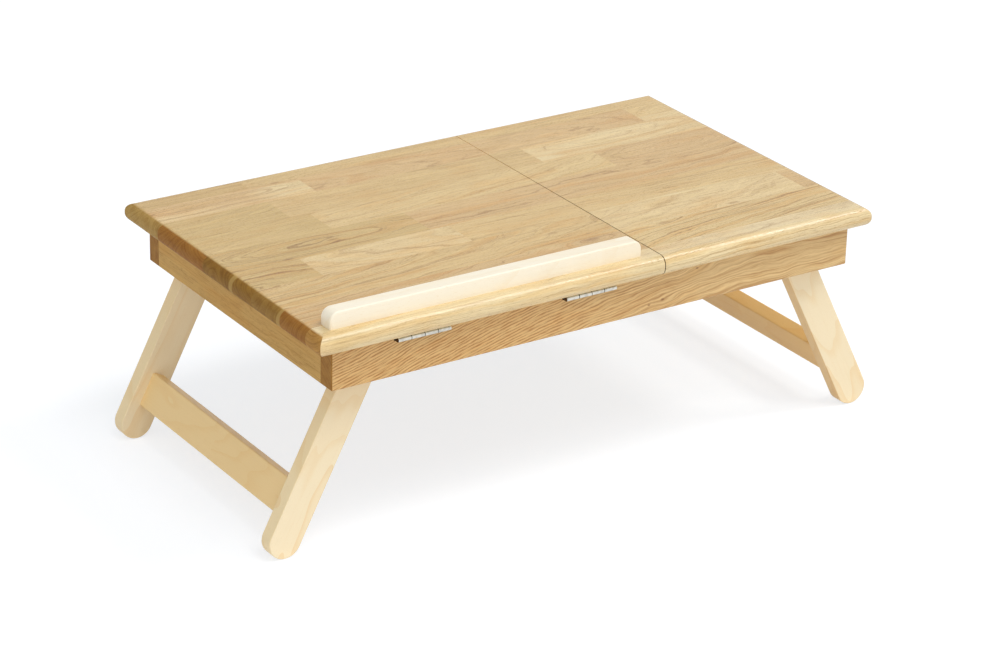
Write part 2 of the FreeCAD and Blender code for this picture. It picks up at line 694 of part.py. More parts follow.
def stretcher_centre(side):
    outward = -1 if side == "left" else 1
    return f"{outward} * (stretcher_outset - stretcher_thickness / 2)"


def stretcher_dowel_levels():
    return [f"stretcher_middle {sign} stretcher_dowel_spread / 2" for sign in "-+"]


def make_stretcher(side):
    name = f"{side}_stretcher"
    centre = stretcher_centre(side)
    x = (f"{centre} - stretcher_thickness / 2", f"{centre} + stretcher_thickness / 2")
    y = ("front_leg_inner", "back_leg_inner")
    body = block(f"{name}_board", x, y, ("stretcher_low", "stretcher_high"))
    edges = [edge for level in ("stretcher_low", "stretcher_high") for face in x
             for edge in straight_edges(body, "Y", x=face, z=level)]
    soften(body, f"{name}_eased", edges, "stretcher_ease")
    depth = "(stretcher_dowel_length - stretcher_dowel_depth + dowel_end_play)"
    holes = []
    dowels = []
    for index, level in enumerate(stretcher_dowel_levels()):
        across = (centre, level)
        holes.append(dowel_hole(f"{name}_front_hole_{index}", "Y", "stretcher_dowel_diameter",
                                y[0], f"{y[0]} + {depth}", across))
        holes.append(dowel_hole(f"{name}_back_hole_{index}", "Y", "stretcher_dowel_diameter",
                                f"{y[1]} - {depth}", y[1], across))
        front = "front_leg_inner - stretcher_dowel_depth"
        back = "back_leg_inner + stretcher_dowel_depth"
        dowels.append(rod(f"{name}_front_dowel_{index}", "Y", "stretcher_dowel_diameter",
                          front, f"{front} + stretcher_dowel_length", across))
        dowels.append(rod(f"{name}_back_dowel_{index}", "Y", "stretcher_dowel_diameter",
                          f"{back} - stretcher_dowel_length", back, across))
    stand_open(node(name, cut(name, body, holes)), side)
    stand_open(node(f"{name}_dowels", group(f"{name}_dowels", dowels)), side)


def bolt(name, axis, shank, head, shank_diameter, head_diameter, across):
    """Bolt with a round head and a hex socket; shank and head are (start, end) along the axis."""
    body = joined(f"{name}_blank", [
        rod(f"{name}_shank", axis, shank_diameter, *sorted(shank, key=number), across),
        rod(f"{name}_head", axis, head_diameter, *sorted(head, key=number), across)])
    socket = add("Part::Prism", f"{name}_socket")
    socket.Polygon = 6
    bind(socket, "Circumradius", "hex_socket / sqrt(3)")
    bind(socket, "Height", "hex_socket_depth")
    outside = head[1]
    start = outside if number(head[1]) < number(head[0]) else f"{outside} - hex_socket_depth"
    return cut(name, body, [turned(socket, axis, start, across)])


def make_leg_pivots():
    """Pivot bolts screwed from inside into threaded inserts, with a washer behind each leg."""
    bolts, washers, inserts = [], [], []
    for side, x in PIVOT_X.items():
        for row, inward in (("front", 1), ("back", -1)):
            across = (x, "pivot_height")
            face = f"bay_{row}"
            seat = f"{row}_leg_inner - {inward} * (head_recess_depth - head_gap)"
            bolts.append(bolt(f"leg_bolt_{side}_{row}", "Y", (f"{face} - {inward} * bolt_reach", seat),
                              (seat, f"{seat} + {inward} * leg_bolt_head_height"),
                              "leg_bolt_diameter", "leg_bolt_head", across))
            ring = sorted((face, f"{face} + {inward} * washer_thickness"), key=number)
            washers.append(cut(f"leg_washer_{side}_{row}",
                               rod(f"leg_washer_{side}_{row}_disc", "Y", "washer_diameter", *ring, across),
                               [rod(f"leg_washer_{side}_{row}_bore", "Y",
                                    "leg_bolt_diameter + 2 * leg_bolt_play", *ring, across)]))
            sleeve = sorted((face, f"{face} - {inward} * insert_length"), key=number)
            inserts.append(cut(f"leg_insert_{side}_{row}",
                               rod(f"leg_insert_{side}_{row}_plug", "Y", "insert_diameter", *sleeve, across),
                               [rod(f"leg_insert_{side}_{row}_bore", "Y",
                                    "leg_bolt_diameter + 2 * screw_play", *sleeve, across)]))
    node("leg_bolts", group("leg_bolts", bolts))
    node("leg_washers", group("leg_washers", washers))
    node("leg_inserts", group("leg_inserts", inserts))


# ---------------------------------------------------------------- hinges

def knuckle(x, index):
    start = f"{x} + {index} * knuckle_pitch"
    return start, f"{start} + knuckle_pitch - knuckle_gap"


def make_leaf(side, name, own, other, plate_z, fit, head, up):
    """Hinge leaf: a plate with two knuckles, cut back where the other leaf's knuckles turn."""
    x = HINGE_X[side]
    plate = box(f"{name}_plate", (x, f"{x} + hinge_length"), ("hinge_y", "hinge_y + leaf_width"), plate_z)
    axis_at = ("hinge_y", "hinge_z")
    knuckles = [rod(f"{name}_knuckle_{index}", "X", "hinge_barrel", *knuckle(x, index), axis_at)
                for index in own]
    tools = [rod(f"{name}_bore", "X", f"hinge_pin + 2 * {fit}", f"{x} - knuckle_gap",
                 f"{x} + hinge_length + knuckle_gap", axis_at)]
    for index in other:
        start, end = knuckle(x, index)
        tools.append(box(f"{name}_notch_{index}", (f"{start} - knuckle_gap", f"{end} + knuckle_gap"),
                         ("hinge_y - knuckle_gap", "hinge_y + hinge_barrel / 2 + knuckle_gap"),
                         ("hinge_z - hinge_barrel", "hinge_z + hinge_barrel")))
    tools += screw_holes(f"{name}_screw_hole", hinge_screw_places(side), head, up,
                         "hinge_screw", "hinge_screw_length")
    blank = joined(f"{name}_blank", [plate] + knuckles)
    node(name, cut(name, blank, tools))


def make_hinges():
    low_plate = ("hinge_z - hinge_barrel / 2", "hinge_z - hinge_barrel / 2 + leaf_thickness")
    high_plate = ("hinge_z + hinge_barrel / 2 - leaf_thickness", "hinge_z + hinge_barrel / 2")
    for side, x in HINGE_X.items():
        make_leaf(side, f"hinge_{side}_fixed_leaf", (0, 2), (1, 3), low_plate, "pin_fit",
                  low_plate[1], False)
        make_leaf(side, f"hinge_{side}_moving_leaf", (1, 3), (0, 2), high_plate, "pin_play",
                  high_plate[0], True)
        node(f"hinge_{side}_pin", rod(f"hinge_{side}_pin", "X", "hinge_pin", x,
                                      f"{x} + hinge_length", ("hinge_y", "hinge_z")))
    screw_set("hinge_fixed_screws", all_hinge_screw_places(), low_plate[1], False,
              "hinge_screw", "hinge_screw_length")
    screw_set("hinge_moving_screws", all_hinge_screw_places(), high_plate[0], True,
              "hinge_screw", "hinge_screw_length")


# ---------------------------------------------------------------- props and racks

def make_prop(side):
    """Arm that lies level when closed and swings up under the tilting panel."""
    name = f"prop_{side}"
    x = PROP_X[side]
    span = (x, f"{x} + prop_width")
    low, high = "prop_z - prop_half", "prop_z + prop_half"
    tip = "prop_y + prop_length"
    body = bar(f"{name}_bar", [("prop_y - prop_half", low), (f"{tip} + prop_half", low),
                               (f"{tip} + prop_half", high), ("prop_y - prop_half", high)], *span)
    ends = [edge for y in ("prop_y - prop_half", f"{tip} + prop_half") for z in (low, high)
            for edge in straight_edges(body, "X", y=y, z=z)]
    soften(body, f"{name}_rounded", ends, f"prop_half - {TOLERANCE}")
    node(name, cut(name, body, [rod(f"{name}_hole", "X", "prop_bolt_diameter + 2 * leg_bolt_play",
                                    *span, ("prop_y", "prop_z"))]))


def make_prop_pivots():
    bolts, washers = [], []
    for side, x in PROP_X.items():
        across = ("prop_y", "prop_z")
        seat = f"{x} + prop_width + head_gap"
        bolts.append(bolt(f"prop_bolt_{side}", "X", (f"{seat} - prop_bolt_length", seat),
                          (seat, f"{seat} + prop_bolt_head_height"), "prop_bolt_diameter",
                          "prop_bolt_head", across))
        ring = (f"{x} - prop_gap", f"{x} - prop_gap + washer_thickness")
        washers.append(cut(f"prop_washer_{side}",
                           rod(f"prop_washer_{side}_disc", "X", "prop_washer_diameter", *ring, across),
                           [rod(f"prop_washer_{side}_bore", "X",
                                "prop_bolt_diameter + 2 * leg_bolt_play", *ring, across)]))
    node("prop_bolts", group("prop_bolts", bolts))
    node("prop_washers", group("prop_washers", washers))


def make_rack(side):
    """Strip under the tilting panel with three round seats for the prop's tip."""
    name = f"rack_{side}"
    x = PROP_X[side]
    span = (x, f"{x} + prop_width")
    low = "underside - rack_thickness"
    strip = box(f"{name}_strip", span, (f"{seat_y(REST_ANGLES[0])} - rack_end",
                                        f"{seat_y(REST_ANGLES[-1])} + rack_end"), (low, "underside"))
    axis_z = f"{low} + rack_seat_depth - prop_half"
    tools = [rod(f"{name}_seat_{index}", "X", "prop_height + 2 * rack_seat_play", *span,
                 (seat_y(angle), axis_z)) for index, angle in enumerate(REST_ANGLES)]
    tools += screw_holes(f"{name}_hole", rack_screw_places(side), low, True,
                         "wood_screw", "rack_screw_length")
    node(name, cut(name, strip, tools))


def make_racks():
    for side in PROP_X:
        make_rack(side)
    screw_set("rack_screws", rack_screw_places("left") + rack_screw_places("right"),
              "underside - rack_thickness", True, "wood_screw", "rack_screw_length")


# ---------------------------------------------------------------- drawer

def drawer_dowel_places():
    """Ends of the drawer where dowels join its sides to its front and back."""
    level = "(drawer_floor_top + drawer_side_top) / 2"
    places = []
    for side, y in (("near", "drawer_near + drawer_side_thickness / 2"),
                    ("far", "drawer_far - drawer_side_thickness / 2")):
        places.append((f"{side}_front", "X", "drawer_cavity_face + drawer_dowel_depth", -1, (y, level)))
    for side, y, inward in (("near", "drawer_near", 1), ("far", "drawer_far", -1)):
        places.append((f"{side}_back", "Y", y, inward,
                       ("drawer_inner + drawer_back_thickness / 2", level)))
    return places


def drawer_dowel(name, extra_diameter="0", extra_length="0"):
    rods = []
    for label, axis, start, step, across in drawer_dowel_places():
        end = f"{start} + {step} * drawer_dowel_length"
        low, high = sorted((f"{start} - {step} * ({extra_length})", f"{end} + {step} * ({extra_length})"),
                           key=number)
        rods.append(rod(f"{name}_{label}", axis, f"drawer_dowel_diameter + 2 * ({extra_diameter})",
                        low, high, across))
    return rods


def drawer_dowel_holes(name):
    return drawer_dowel(name, "dowel_play", "dowel_play")


def floor_slot(name):
    """Space of the drawer bottom with the play of the grooves that hold it."""
    grow = "drawer_groove_depth + drawer_groove_play"
    return box(name, (f"drawer_back_face - ({grow})", f"drawer_cavity_face + {grow}"),
               (f"drawer_near + drawer_side_thickness - ({grow})",
                f"drawer_far - drawer_side_thickness + {grow}"),
               ("drawer_floor - drawer_groove_play", "drawer_floor_top + drawer_groove_play"))


def make_drawer_front():
    body = block("drawer_front_board", ("drawer_cavity_face", "drawer_face"),
                 ("drawer_near", "drawer_far"), ("drawer_under", "drawer_front_top"))
    edges = straight_edges(body, "Y", x="drawer_face", z="drawer_under")
    edges += straight_edges(body, "Y", x="drawer_face", z="drawer_front_top")
    edges += straight_edges(body, "Z", x="drawer_face", y="drawer_near")
    edges += straight_edges(body, "Z", x="drawer_face", y="drawer_far")
    soften(body, "drawer_front_eased", edges, "drawer_ease")
    hole = rod("finger_hole_cut", "X", "finger_hole", "drawer_cavity_face", "drawer_face",
               ("bay_middle", "drawer_floor_top + finger_hole_rise + finger_hole / 2"))
    tools = [hole, floor_slot("front_floor_slot")] + drawer_dowel_holes("front_dowel_hole")
    node("drawer_front", cut("drawer_front", body, tools))


def make_drawer_side(side, y):
    name = f"drawer_side_{side}"
    body = block(f"{name}_board", ("drawer_inner", "drawer_cavity_face"), y,
                 ("drawer_under", "drawer_side_top"))
    tools = [floor_slot(f"{name}_floor_slot")] + drawer_dowel_holes(f"{name}_dowel_hole")
    node(name, cut(name, body, tools))


def make_drawer():
    make_drawer_front()
    inside = ("drawer_near + drawer_side_thickness", "drawer_far - drawer_side_thickness")
    make_drawer_side("near", ("drawer_near", inside[0]))
    make_drawer_side("far", (inside[1], "drawer_far"))
    back = block("drawer_back_board", ("drawer_inner", "drawer_back_face"), inside,
                 ("drawer_under", "drawer_back_top"))
    tools = [floor_slot("back_floor_slot")] + drawer_dowel_holes("back_dowel_hole")
    node("drawer_back", cut("drawer_back", back, tools))
    node("drawer_bottom", box("drawer_bottom", ("drawer_back_face - drawer_groove_depth",
                                                "drawer_cavity_face + drawer_groove_depth"),
                              (f"{inside[0]} - drawer_groove_depth", f"{inside[1]} + drawer_groove_depth"),
                              ("drawer_floor", "drawer_floor_top")))
    node("drawer_dowels", group("drawer_dowels", drawer_dowel("drawer_dowel")))


def make_runners():
    """C-shaped runners hung from the fixed panel; the drawer sides slide on their feet."""
    low = "underside - runner_flange"
    for side, (face, inward) in runner_lines().items():
        name = f"runner_{side}"
        outer = f"{face} - {inward} * runner_web"
        flange = f"{face} + {inward} * runner_flange_width"
        foot = f"{face} + {inward} * runner_foot_width"
        body = bar(f"{name}_bar", [(outer, "runner_under"), (foot, "runner_under"), (foot, "runner_rest"),
                                   (face, "runner_rest"), (face, low), (flange, low),
                                   (flange, "underside"), (outer, "underside")],
                   "runner_from", "bay_right")
        holes = screw_holes(f"{name}_hole", runner_screw_places(), low, True,
                            "wood_screw", "runner_screw_length")
        node(name, cut(name, body, holes))
    screw_set("runner_screws", runner_screw_places(), low, True, "wood_screw", "runner_screw_length")


def make_drawer_stop():
    """Cleat under the fixed panel that the raised drawer back meets when it is pulled out."""
    low = "underside - stop_thickness"
    body = block("drawer_stop_block", ("stop_from", "stop_from + stop_length"),
                 ("bay_middle - stop_width / 2", "bay_middle + stop_width / 2"), (low, "underside"))
    holes = screw_holes("drawer_stop_hole", stop_screw_places(), low, True,
                        "wood_screw", "runner_screw_length")
    node("drawer_stop", cut("drawer_stop", body, holes))
    screw_set("stop_screws", stop_screw_places(), low, True, "wood_screw", "runner_screw_length")


# ---------------------------------------------------------------- whole table

def make_all():
    make_tilt_top()
    make_fixed_top()
    make_book_ledge()
    for side in LONG_BOARD_Y:
        make_long_board(side)
    make_apron_left()
    make_apron_right()
    make_centre_rail()
    make_apron_dowels()
    make_seam_batten()
    for side in PIVOT_X:
        for row in LONG_BOARD_Y:
            make_leg(side, row)
        make_stretcher(side)
    make_leg_pivots()
    make_hinges()
    for side in PROP_X:
        make_prop(side)
    make_prop_pivots()
    make_racks()
    make_drawer()
    make_runners()
    make_drawer_stop()
    document.recompute()


def check_all():
    for item in document.Objects:
        if {"Invalid", "Error"} & set(item.State):
            raise RuntimeError(f"{item.Label}: {item.State}")
    for item in nodes:
        if item.Shape.isNull() or not item.Shape.isValid() or item.Shape.Volume <= 0:
            raise RuntimeError(f"{item.Label}: no valid solid")


def write_all():
    os.makedirs("parts", exist_ok=True)
    for item in nodes:
        item.Shape.exportStep(f"parts/{item.Label}.step")


fill_sheet()
make_all()
check_all()
write_all()
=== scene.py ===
import math

import bpy
from mathutils import Matrix, Vector

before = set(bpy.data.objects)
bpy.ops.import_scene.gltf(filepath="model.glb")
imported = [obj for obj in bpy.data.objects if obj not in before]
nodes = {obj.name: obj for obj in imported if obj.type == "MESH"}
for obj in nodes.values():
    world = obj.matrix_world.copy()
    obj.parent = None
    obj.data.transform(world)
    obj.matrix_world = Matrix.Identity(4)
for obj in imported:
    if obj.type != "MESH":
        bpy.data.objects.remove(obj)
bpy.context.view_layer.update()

MM = 1000.0
WHITE = (1.0, 1.0, 1.0, 1.0)

# Sizes of the table that the wood's figure follows, in millimetres.
TOP_HEIGHT = 220.0
LEFT_END = -300
RIGHT_END = 300
BACK_EDGE = 181.0
SEAM = 60.6
LEG_LEAN = math.radians(27)


# ---------------------------------------------------------------- camera and light

CAMERA_PLACE = Vector((-1.6158711, -2.4354106, 1.4006874))
CAMERA_RIGHT = Vector((0.8387386, -0.5441064, 0.0215824))
CAMERA_UP = Vector((0.2059568, 0.3536734, 0.9124127))
CAMERA_LENS = 122.37

# Direction, brightness on a surface that faces it, and apparent size in degrees.
LAMPS = {
    "overhead": ((0.14, -0.42, 0.90), 0.26, 27.0),
    "right": ((0.58, -0.24, 0.78), 0.27, 16.0),
}
# Even light of the sky, and the glow that comes on top of it from the front.
SKY_LIGHT = 0.336
FRONT_LIGHT = 0.704
FRONT_DIRECTION = (-0.50, -0.74, 0.45)
# What the camera and reflections see of the floor: a glow, plus this share of the light on it.
FLOOR_GLOW = (0.688, 0.710, 0.737, 1.0)
FLOOR_SHADE = 0.385
# What every other ray meets.
FLOOR_BOUNCE = 0.97
FLOOR_SIZE = 8.0
FLOOR_GAP = 0.0004


def set_camera():
    data = bpy.data.cameras.new("camera")
    data.sensor_width = 36.0
    data.lens = CAMERA_LENS
    camera = bpy.data.objects.new("camera", data)
    bpy.context.collection.objects.link(camera)
    turn = Matrix((CAMERA_RIGHT, CAMERA_UP, CAMERA_RIGHT.cross(CAMERA_UP))).transposed()
    camera.matrix_world = Matrix.Translation(CAMERA_PLACE) @ turn.to_4x4()
    bpy.context.scene.camera = camera


def set_lamps():
    for name, (direction, brightness, width) in LAMPS.items():
        data = bpy.data.lights.new(name, "SUN")
        data.energy = brightness * math.pi
        data.angle = math.radians(width)
        lamp = bpy.data.objects.new(name, data)
        bpy.context.collection.objects.link(lamp)
        lamp.rotation_euler = Vector(direction).to_track_quat("Z", "Y").to_euler()


# ---------------------------------------------------------------- node graphs

def srgb(text):
    """Linear colour of a hex code."""
    parts = [int(text[i:i + 2], 16) / 255 for i in (0, 2, 4)]
    linear = [p / 12.92 if p <= 0.04045 else ((p + 0.055) / 1.055) ** 2.4 for p in parts]
    return (*linear, 1.0)


class Graph:
    """Short way to write the nodes of one material. Lengths in it are in millimetres."""

    def __init__(self, name, tree=None):
        self.material = None
        if tree is None:
            self.material = bpy.data.materials.new(name)
            self.material.use_nodes = True
            tree = self.material.node_tree
        self.tree = tree
        self.tree.nodes.clear()

    def add(self, kind, **settings):
        node = self.tree.nodes.new(kind)
        for key, value in settings.items():
            setattr(node, key, value)
        return node

    def feed(self, socket, value):
        if isinstance(value, bpy.types.NodeSocket):
            self.tree.links.new(value, socket)
        else:
            socket.default_value = value

    def math(self, operation, *values):
        node = self.add("ShaderNodeMath", operation=operation)
        for socket, value in zip(node.inputs, values):
            self.feed(socket, value)
        return node.outputs[0]

    def scaled(self, value, factor, shift=0.0):
        return self.math("MULTIPLY_ADD", value, factor, shift)

    def total(self, *values):
        result = values[0]
        for value in values[1:]:
            result = self.math("ADD", result, value)
        return result

    def hypot(self, first, second):
        return self.math("SQRT", self.total(self.math("MULTIPLY", first, first),
                                            self.math("MULTIPLY", second, second)))

    def step(self, value, low, high, out_low=0.0, out_high=1.0):
        """Smooth change from one number to another while the value goes from low to high."""
        node = self.add("ShaderNodeMapRange", interpolation_type="SMOOTHSTEP")
        for socket, number in zip(node.inputs, (value, low, high, out_low, out_high)):
            self.feed(socket, number)
        return node.outputs[0]

    def band(self, value, low, high, soft_low, soft_high):
        """1 between two values, with soft ends."""
        return self.math("MULTIPLY", self.step(value, low - soft_low, low + soft_low),
                         self.step(value, high + soft_high, high - soft_high))

    def vector(self, x, y, z):
        node = self.add("ShaderNodeCombineXYZ")
        for socket, value in zip(node.inputs, (x, y, z)):
            self.feed(socket, value)
        return node.outputs[0]

    def split(self, vector):
        node = self.add("ShaderNodeSeparateXYZ")
        self.feed(node.inputs[0], vector)
        return node.outputs[0], node.outputs[1], node.outputs[2]

    def place(self):
        """Coordinates of the surface, in millimetres, which stay with the part when it moves."""
        coords = self.add("ShaderNodeTexCoord")
        return [self.scaled(part, MM) for part in self.split(coords.outputs["Object"])]

    def facing(self):
        """Direction that the surface faces, in the part's own axes."""
        return self.split(self.add("ShaderNodeTexCoord").outputs["Normal"])

    def along(self, axis, low, high):
        """1 on the faces that look along an axis, either way."""
        return self.step(self.math("ABSOLUTE", self.facing()[axis]), low, high)

    def noise(self, x, y, z, detail=2.0, rough=0.5):
        """Soft noise. Each axis is a value and the length over which it changes."""
        parts = [self.scaled(value, 1.0 / length) if isinstance(value, bpy.types.NodeSocket)
                 else value for value, length in (x, y, z)]
        node = self.add("ShaderNodeTexNoise")
        self.feed(node.inputs["Vector"], self.vector(*parts))
        for key, value in (("Scale", 1.0), ("Detail", detail), ("Roughness", rough)):
            node.inputs[key].default_value = value
        return node.outputs[0]

    def chance(self, x, y, z):
        """Three steady random numbers from three values."""
        node = self.add("ShaderNodeTexWhiteNoise", noise_dimensions="3D")
        self.feed(node.inputs["Vector"], self.vector(x, y, z))
        return self.split(node.outputs["Color"])

    def pick(self, test, first, second):
        """First number where the test is 1, else the second."""
        return self.total(self.math("MULTIPLY", test, self.math("SUBTRACT", first, second)), second)

    def mix(self, factor, first, second):
        node = self.add("ShaderNodeMix", data_type="RGBA", clamp_factor=True)
        self.feed(node.inputs[0], factor)
        self.feed(node.inputs[6], first)
        self.feed(node.inputs[7], second)
        return node.outputs[2]

    def shade(self, colour, factor, amount):
        """Multiply a colour by a darker or lighter factor, by a varying amount."""
        node = self.add("ShaderNodeMix", data_type="RGBA", blend_type="MULTIPLY", clamp_factor=True)
        self.feed(node.inputs[0], amount)
        self.feed(node.inputs[6], colour)
        self.feed(node.inputs[7], factor)
        return node.outputs[2]

    def tint(self, colour, factor, value, low, high, amount, share=None):
        """Shade a colour more, up to the amount, while the value goes from low to high."""
        strength = self.step(value, low, high, 0.0, amount)
        if share is not None:
            strength = self.math("MULTIPLY", share, strength)
        return self.shade(colour, factor, strength)

    def bump(self, height, distance, strength):
        node = self.add("ShaderNodeBump")
        node.inputs["Strength"].default_value = strength
        node.inputs["Distance"].default_value = distance / MM
        self.feed(node.inputs["Height"], height)
        return node.outputs[0]

    def finish(self, colour, roughness, normal, specular=0.5, metal=0.0):
        shader = self.add("ShaderNodeBsdfPrincipled")
        self.feed(shader.inputs["Base Color"], colour)
        self.feed(shader.inputs["Roughness"], roughness)
        self.feed(shader.inputs["Normal"], normal)
        self.feed(shader.inputs["Specular IOR Level"], specular)
        shader.inputs["Metallic"].default_value = metal
        output = self.add("ShaderNodeOutputMaterial")
        self.tree.links.new(shader.outputs[0], output.inputs["Surface"])
        return self.material


def seen_rays(g):
    """1 for the rays that show the background: camera, mirror and glass rays."""
    path = g.add("ShaderNodeLightPath")
    seen = g.math("MAXIMUM", path.outputs["Is Camera Ray"], path.outputs["Is Glossy Ray"])
    return g.math("MAXIMUM", seen, path.outputs["Is Transmission Ray"])


# ---------------------------------------------------------------- oak

DARK_LINE = (0.60, 0.47, 0.33, 1.0)
PALE_LINE = (1.12, 1.14, 1.16, 1.0)
WARM_CLOUD = (0.97, 0.88, 0.74, 1.0)
OLIVE_CLOUD = (0.90, 0.87, 0.77, 1.0)
PORE = (0.48, 0.36, 0.24, 1.0)
STREAK = (0.66, 0.48, 0.30, 1.0)
KNOT = (0.55, 0.40, 0.27, 1.0)
DARK_KNOT = (0.45, 0.30, 0.22, 1.0)
END_RING = (0.66, 0.58, 0.46, 1.0)
END_SPECK = (0.62, 0.54, 0.42, 1.0)
END_PATCH = (0.80, 0.70, 0.55, 1.0)
END_PALE = (1.14, 1.15, 1.12, 1.0)
# How strongly varnished faces and sawn ends mirror, and how rough the sawn ends are.
SATIN = 0.52
MATTE = 0.16
ROUGH_END = 0.62


def oak_grain(g, base, run, across, away, figure, seed, depth):
    """Oak cut along the grain. away and across are the distances from the heart of the tree."""
    first, second, third = seed
    wobble = g.noise((run, 34.0), (across, 11.0), (first, 1.0), detail=3)
    drift = g.noise((run, 150.0), (across, 60.0), (second, 1.0))
    radius = g.total(g.hypot(across, away), g.scaled(wobble, 7.0), g.scaled(drift, 16.0))
    lines = g.noise((radius, 1.5), (run, 260.0), (third, 0.1), detail=3, rough=0.65)
    broad = g.noise((radius, 6.5), (run, 220.0), (second, 0.1), detail=1)
    streaks = g.noise((run, 140.0), (depth, 1.3), (across, 1.3), detail=4, rough=0.6)
    fibres = g.noise((run, 9.0), (across, 0.55), (depth, 0.55), detail=2, rough=0.6)
    dashes = g.noise((run, 55.0), (across, 0.95), (depth, 0.95), detail=3, rough=0.7)
    cloud = g.noise((run, 70.0), (across, 17.0), (third, 0.2), detail=2)
    colour = g.tint(base, WARM_CLOUD, cloud, 0.50, 0.72, 0.75)
    colour = g.tint(colour, OLIVE_CLOUD, cloud, 0.46, 0.30, 0.55)
    colour = g.tint(colour, WARM_CLOUD, broad, 0.48, 0.66, 1.0, figure)
    colour = g.tint(colour, DARK_LINE, lines, 0.52, 0.70, 0.74, figure)
    colour = g.tint(colour, PALE_LINE, lines, 0.46, 0.32, 0.55)
    colour = g.tint(colour, DARK_LINE, streaks, 0.54, 0.72, 0.50)
    colour = g.tint(colour, DARK_LINE, fibres, 0.54, 0.74, 0.30)
    colour = g.tint(colour, DARK_LINE, dashes, 0.53, 0.68, 0.48)
    colour = g.tint(colour, PALE_LINE, dashes, 0.47, 0.34, 0.70)
    pores = g.noise((run, 4.2), (across, 0.28), (depth, 0.28), detail=0)
    specks = g.noise((run, 3.0), (across, 0.8), (depth, 0.8), detail=1)
    early = g.step(lines, 0.44, 0.60, 0.25, 1.0)
    pores = g.math("MULTIPLY", g.step(pores, 0.64, 0.72), early)
    colour = g.shade(colour, PORE, g.scaled(pores, 0.55))
    relief = g.total(g.scaled(fibres, 0.30), g.scaled(specks, 0.35), g.scaled(pores, -1.0))
    gloss = g.total(g.scaled(streaks, 0.14, 0.11), g.scaled(specks, 0.26), g.scaled(pores, 0.15))
    return {"colour": colour, "relief": relief, "gloss": gloss}


def end_grain(g, base, radius, across, depth, seed):
    """Sawn end of the same boards: close rings across it, open pores and soft patches."""
    rings = g.noise((radius, 1.1), (seed[0], 0.1), (seed[1], 0.1), detail=2, rough=0.6)
    specks = g.noise((across, 0.6), (depth, 0.6), (seed[2], 0.1), detail=2)
    patches = g.noise((across, 9.0), (depth, 7.0), (seed[0], 0.1), detail=2)
    colour = g.tint(base, END_RING, rings, 0.46, 0.64, 0.60)
    colour = g.tint(colour, END_SPECK, specks, 0.52, 0.68, 0.50)
    colour = g.tint(colour, END_PATCH, patches, 0.48, 0.68, 0.60)
    return g.tint(colour, END_PALE, patches, 0.46, 0.30, 0.60)


def oak_finish(g, marks, colour, ends):
    """Varnished oak whose sawn ends, where ends is 1, are rough and matte."""
    gloss = g.pick(ends, ROUGH_END, marks["gloss"])
    specular = g.pick(ends, MATTE, SATIN)
    return g.finish(colour, gloss, g.bump(marks["relief"], 0.10, 0.45), specular)


# Wood colours of the staves, then of their sawn ends.
TONES = {
    "brown": srgb("cbaa6c"), "olive": srgb("cfb172"), "pink": srgb("d6b47b"),
    "tan": srgb("d6b77b"), "gold": srgb("dabb7f"), "light": srgb("dec186"),
    "cream": srgb("e4c992"), "pale": srgb("e9d3a0"), "ivory": srgb("e8d2a3"),
    "end_tan": srgb("b58745"), "end_mid": srgb("a5783a"), "end_light": srgb("b59455"),
    "end_red": srgb("a06e2f"), "end_dark": srgb("936c2c"), "end_olive": srgb("997436"),
}

# Staves of the glued top, from the back edge to the front. Each row has its front line, the tone
# of its sawn ends, and its staves. A stave has its right end, its tone and its figure: how far the
# heart lies beside the row's middle, its depth at the middle of the table, how fast that depth
# changes along the stave, and how strong the rings are.
ROWS = [
    (153.0, "end_light", [
        (-183, "brown", 30, 46, 0.03, 0.5),
        (248, "tan", -40, 60, -0.02, 0.4),
        (RIGHT_END, "gold", 10, 30, 0.04, 0.5)]),
    (115.5, "end_light", [
        (-131, "pink", 6, 20, 0.09, 0.9),
        (248, "pink", -12, 44, 0.08, 0.8),
        (RIGHT_END, "light", 26, 20, 0.10, 0.4)]),
    (71.4, "end_red", [
        (-184.6, "olive", 50, 70, 0.10, 0.35),
        (97, "tan", 24, 60, -0.04, 0.35),
        (RIGHT_END, "cream", 8, -30, 0.16, 0.7)]),
    (29.0, "end_red", [
        (-165, "olive", -20, 40, -0.05, 0.4),
        (154, "light", 60, 70, 0.16, 0.6),
        (RIGHT_END, "pink", 0, -62, 0.27, 0.7)]),
    (-18.0, "end_dark", [
        (-88, "olive", 4, 26, 0.14, 1.4),
        (RIGHT_END, "pink", 34, 50, 0.02, 1.0)]),
    (-60.5, "end_dark", [
        (-227, "olive", -26, 48, 0.06, 1.4),
        (-69, "cream", 26, 64, -0.16, 0.7),
        (RIGHT_END, "gold", -46, 70, 0.02, 0.6)]),
    (-108.0, "end_olive", [
        (SEAM, "gold", 25, 46, 0.15, 1.15),
        (277, "cream", 40, 62, 0.12, 0.5),
        (RIGHT_END, "pink", 20, 30, 0.02, 0.5)]),
    (-155.0, "end_red", [
        (SEAM, "pink", 30, 40, 0.12, 1.2),
        (RIGHT_END, "light", -70, 80, -0.20, 1.8)]),
    (-190.0, "end_tan", [
        (SEAM, "ivory", 12, 24, 0.03, 0.8),
        (RIGHT_END, "ivory", 16, 30, 0.04, 0.9)]),
]
# Every stave gets a number of its own, which only starts its random figure.
ROW_STEP = 1.3
STAVE_STEP = 0.37

